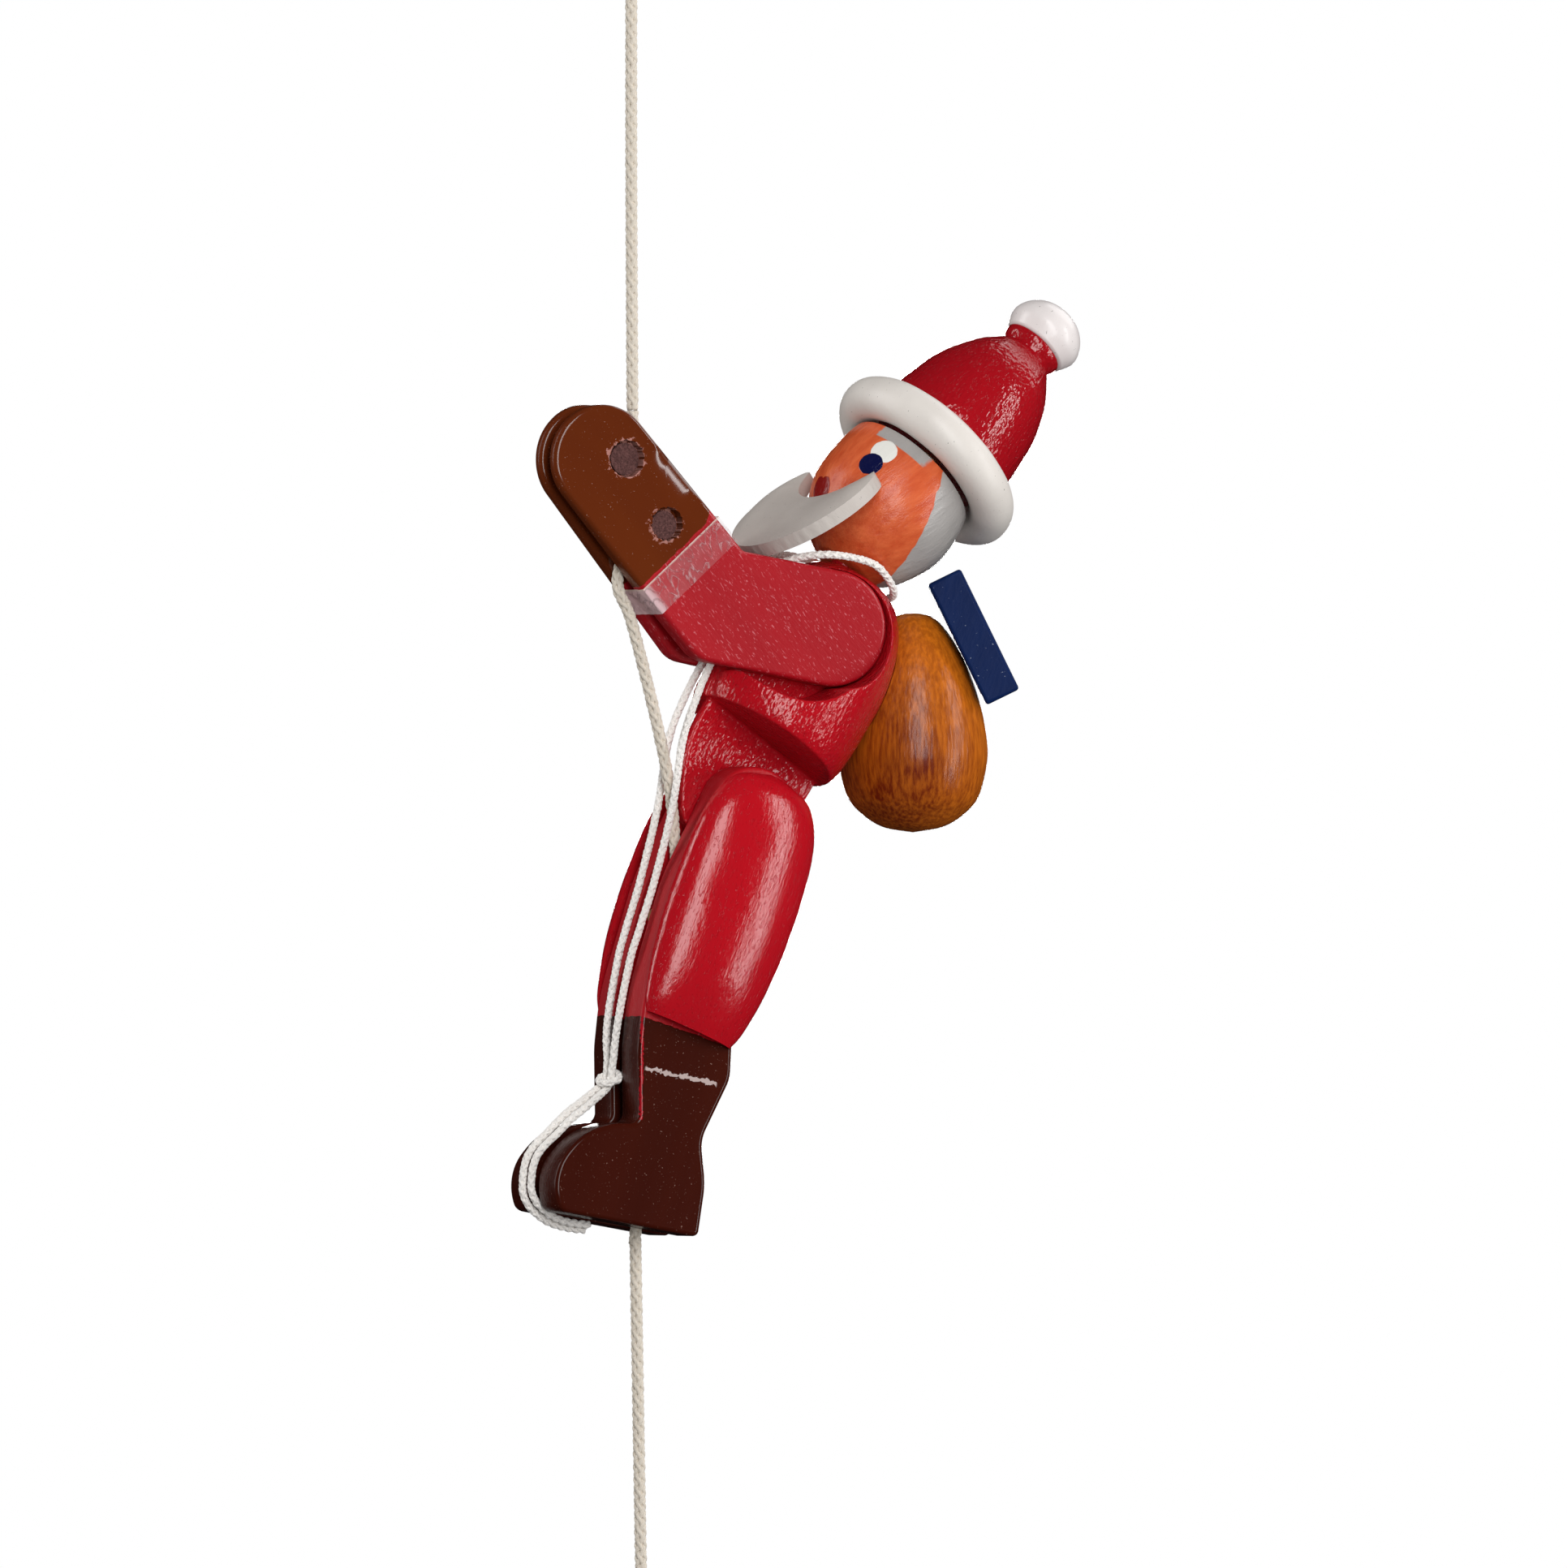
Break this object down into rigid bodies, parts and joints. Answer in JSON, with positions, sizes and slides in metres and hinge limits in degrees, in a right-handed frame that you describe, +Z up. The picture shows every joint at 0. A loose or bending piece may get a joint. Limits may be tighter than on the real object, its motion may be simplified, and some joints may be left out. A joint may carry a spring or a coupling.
{
  "type": "climbing figure toy",
  "caption": "Painted wooden figure in a red coat and hat that climbs a cotton cord, with hinged legs, an elastic and a sack on its back.",
  "frame": {"origin": "where a hook bears inside the hanging loop at the cord's top", "axes": "+Z up along the cord, the figure faces -X and its left side is towards -Y"},
  "size_m": [0.1039, 0.0344, 0.2882],
  "materials": {
    "arm_red_paint": "satin red enamel over a visible grain",
    "red_paint": "glossy red enamel",
    "leg_paint": "glossy red enamel, dark brown from the boot top down",
    "grey_paint": "matt grey paint",
    "white_paint": "matt off-white paint",
    "skin_paint": "salmon paint with painted eyes, nose and hair",
    "blue_paint": "satin dark blue paint",
    "amber_stain": "glossy amber stain over vertical grain",
    "stained_end_grain": "rough stained end grain",
    "plain_beech": "bare beech",
    "cord_cotton": "smooth braided cotton",
    "elastic_cotton": "cotton-covered elastic",
    "clear_film": "thin clear film, creased"
  },
  "bodies": {
    "cord": {"hanging_loop": "cord_cotton", "loop_knot": "cord_cotton", "cord_upper": "cord_cotton", "cord_lower": "cord_cotton", "end_knot": "cord_cotton"},
    "figure": {"arm_left": "arm_red_paint", "arm_right": "arm_red_paint", "beard": "grey_paint", "cord_threaded": "cord_cotton", "elastic_cord": "elastic_cotton", "hand_peg_lower": "stained_end_grain", "hand_peg_upper": "stained_end_grain", "hat_brim": "white_paint", "hat_crown": "red_paint", "hat_dowel": "plain_beech", "head": "skin_paint", "neck_dowel": "plain_beech", "parcel": "blue_paint", "pompom": "white_paint", "sack": "amber_stain", "sack_dowel": "plain_beech", "shoulder_dowel": "plain_beech", "torso": "red_paint", "wrist_band": "clear_film"},
    "legs": {"leg_left": "leg_paint", "leg_right": "leg_paint", "thigh_left": "red_paint", "thigh_right": "red_paint", "hip_axle": "plain_beech", "leg_pin": "plain_beech", "toe_pin": "plain_beech"}
  },
  "joints": [
    {"name": "climb", "type": "slide", "parent": "cord", "child": "figure", "axis": [0, 0, 1], "range_m": [-0.05, 0.06], "deforming": ["cord_upper", "cord_lower"]},
    {"name": "hip_swing", "type": "hinge", "parent": "figure", "child": "legs", "pos_m": [0.01683, 0, -0.151], "axis": [0, 1, 0], "range_deg": [-20, 60], "stiffness_Nm_per_rad": 0.005, "springref_deg": 28.65, "deforming": ["elastic_cord", "cord_threaded"]}
  ]
}
